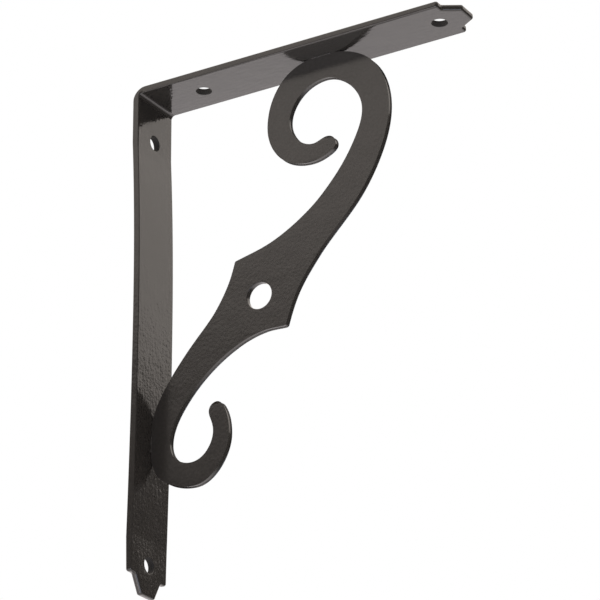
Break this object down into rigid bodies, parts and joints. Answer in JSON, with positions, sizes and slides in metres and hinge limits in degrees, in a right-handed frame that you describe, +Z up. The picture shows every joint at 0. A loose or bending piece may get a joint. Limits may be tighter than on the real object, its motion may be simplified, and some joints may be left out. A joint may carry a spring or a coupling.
{
  "type": "shelf bracket",
  "caption": "Right-angle shelf bracket of bent flat bar with a flat scroll brace on edge between its arms, stepped pointed ends and screw holes, in black powder coat.",
  "frame": {"origin": "on the back of the wall arm, on its centreline, 12 mm below the top of the shelf arm, where the bracket bears on the wall", "axes": "+X out of the wall along the shelf arm, +Y across the bar, +Z up"},
  "size_m": [0.1542, 0.0254, 0.2223],
  "materials": {
    "black_powder_coat": "semi-gloss powder coat with fine orange peel"
  },
  "bodies": {
    "root": {"angle_bar": "black_powder_coat", "scroll_brace": "black_powder_coat"}
  },
  "joints": []
}
